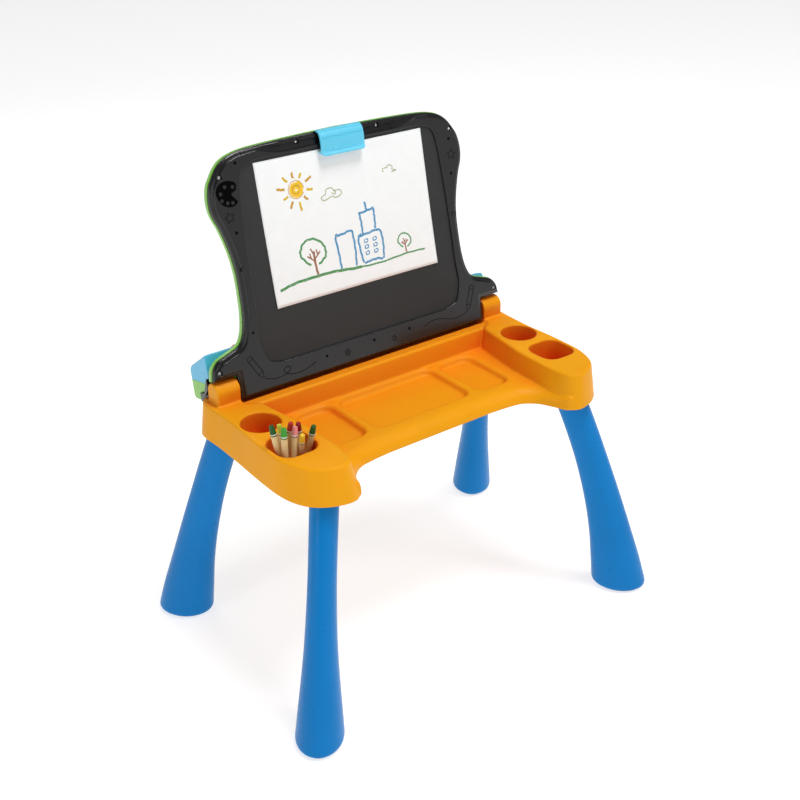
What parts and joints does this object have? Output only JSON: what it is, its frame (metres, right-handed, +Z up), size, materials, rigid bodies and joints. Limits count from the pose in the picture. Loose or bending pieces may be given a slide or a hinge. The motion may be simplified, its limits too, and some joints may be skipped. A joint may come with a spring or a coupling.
{
  "type": "children's activity desk with a flip-up electronic lid",
  "caption": "Children's activity desk: a tray desk on flared legs with a flip-up electronic lid that holds a drawing board, paper clip, keys and display.",
  "frame": {"origin": "on the floor under the centre of the box that holds the object", "axes": "+Z up, +X to the right of someone who stands behind the child's side and looks over it, -Y towards the child"},
  "size_m": [0.6812, 0.4581, 0.7395],
  "materials": {
    "desk_plastic": "satin moulded",
    "leg_plastic": "satin moulded",
    "foot_rubber": "matte",
    "steel": "zinc plated",
    "frame_plastic": "satin with polished edges",
    "board_surface": "fine matte grain",
    "paper": "uncoated paper",
    "shell_plastic": "gloss",
    "panel_plastic": "satin",
    "console_plastic": "gloss",
    "clip_plastic": "satin",
    "circuit_board": "solder mask",
    "battery_can": "satin",
    "display_lens": "polished",
    "speaker_black": "satin",
    "key_plastic": "gloss",
    "button_plastic": "gloss",
    "white_plastic": "gloss",
    "crayon_dark_green": "satin",
    "crayon_lime": "satin",
    "crayon_green": "satin",
    "crayon_red": "satin",
    "crayon_pink": "satin",
    "crayon_dark_red": "satin",
    "crayon_yellow": "satin"
  },
  "bodies": {
    "desk": {"desk_top": "desk_plastic", "leg_front_right": "leg_plastic", "leg_front_left": "leg_plastic", "leg_rear_right": "leg_plastic", "leg_rear_left": "leg_plastic", "foot_pad_front_right": "foot_rubber", "foot_pad_front_left": "foot_rubber", "foot_pad_rear_right": "foot_rubber", "foot_pad_rear_left": "foot_rubber", "hinge_pin_right": "steel", "hinge_pin_left": "steel", "crayon_1": "crayon_dark_green", "crayon_2": "crayon_lime", "crayon_3": "crayon_green", "crayon_4": "crayon_red", "crayon_5": "crayon_pink", "crayon_6": "crayon_dark_red", "crayon_7": "crayon_yellow", "crayon_8": "crayon_dark_green"},
    "lid": {"lid_front_frame": "frame_plastic", "hinge_cover": "frame_plastic", "drawing_board": "board_surface", "paper_sheet": "paper", "activity_page": "paper", "lid_back_shell": "shell_plastic", "console_base": "shell_plastic", "battery_door": "shell_plastic", "touch_panel": "panel_plastic", "lid_screw_1": "steel", "lid_screw_2": "steel", "lid_screw_3": "steel", "lid_screw_4": "steel", "lid_screw_5": "steel", "lid_screw_6": "steel", "lid_screw_7": "steel", "lid_screw_8": "steel", "clip_pin": "steel", "clip_spring": "steel", "battery_contact_left": "steel", "battery_contact_right": "steel", "battery_door_screw": "steel", "console_cover": "console_plastic", "main_board": "circuit_board", "battery_1": "battery_can", "battery_2": "battery_can", "battery_3": "battery_can", "display_window": "display_lens", "speaker": "speaker_black"},
    "clip": {"paper_clip": "clip_plastic"},
    "music_key_1": {"music_key_1": "key_plastic"},
    "music_key_2": {"music_key_2": "key_plastic"},
    "music_key_3": {"music_key_3": "key_plastic"},
    "music_key_4": {"music_key_4": "key_plastic"},
    "music_key_5": {"music_key_5": "key_plastic"},
    "volume_down_button": {"volume_down_button": "key_plastic"},
    "volume_up_button": {"volume_up_button": "key_plastic"},
    "music_mode_button": {"music_mode_button": "button_plastic"},
    "page_mode_button": {"page_mode_button": "button_plastic"},
    "power_slider": {"power_slider": "white_plastic"},
    "phone_handset": {"phone_handset": "white_plastic"}
  },
  "joints": [
    {"name": "lid_fold", "type": "hinge", "parent": "desk", "child": "lid", "pos_m": [0, 0.1058, 0.4118], "axis": [1, 0, 0], "range_deg": [0, 102.68]},
    {"name": "clip_open", "type": "hinge", "parent": "lid", "child": "clip", "pos_m": [0, 0.16413, 0.73006], "axis": [-1, 0, 0], "range_deg": [0, 20], "stiffness_Nm_per_rad": 0.2, "springref_deg": -20.05},
    {"name": "music_key_1_press", "type": "slide", "parent": "lid", "child": "music_key_1", "axis": [0, -0.6326, -0.7745], "range_m": [0, 0.002], "stiffness_N_per_m": 300, "springref_m": -0.001},
    {"name": "music_key_2_press", "type": "slide", "parent": "lid", "child": "music_key_2", "axis": [0, -0.6326, -0.7745], "range_m": [0, 0.002], "stiffness_N_per_m": 300, "springref_m": -0.001},
    {"name": "music_key_3_press", "type": "slide", "parent": "lid", "child": "music_key_3", "axis": [0, -0.6326, -0.7745], "range_m": [0, 0.002], "stiffness_N_per_m": 300, "springref_m": -0.001},
    {"name": "music_key_4_press", "type": "slide", "parent": "lid", "child": "music_key_4", "axis": [0, -0.6326, -0.7745], "range_m": [0, 0.002], "stiffness_N_per_m": 300, "springref_m": -0.001},
    {"name": "music_key_5_press", "type": "slide", "parent": "lid", "child": "music_key_5", "axis": [0, -0.6326, -0.7745], "range_m": [0, 0.002], "stiffness_N_per_m": 300, "springref_m": -0.001},
    {"name": "volume_down_press", "type": "slide", "parent": "lid", "child": "volume_down_button", "axis": [0, -0.6326, -0.7745], "range_m": [0, 0.0018], "stiffness_N_per_m": 300, "springref_m": -0.001},
    {"name": "volume_up_press", "type": "slide", "parent": "lid", "child": "volume_up_button", "axis": [0, -0.6326, -0.7745], "range_m": [0, 0.0018], "stiffness_N_per_m": 300, "springref_m": -0.001},
    {"name": "music_mode_press", "type": "slide", "parent": "lid", "child": "music_mode_button", "axis": [0, -0.6326, -0.7745], "range_m": [0, 0.0018], "stiffness_N_per_m": 300, "springref_m": -0.001},
    {"name": "page_mode_press", "type": "slide", "parent": "lid", "child": "page_mode_button", "axis": [0, -0.6326, -0.7745], "range_m": [0, 0.0018], "stiffness_N_per_m": 300, "springref_m": -0.001},
    {"name": "power_slide", "type": "slide", "parent": "lid", "child": "power_slider", "axis": [1, 0, 0], "range_m": [0, 0.0092]},
    {"name": "handset_lift", "type": "slide", "parent": "lid", "child": "phone_handset", "axis": [0, 0.6326, 0.7745], "range_m": [0, 0.05]}
  ]
}
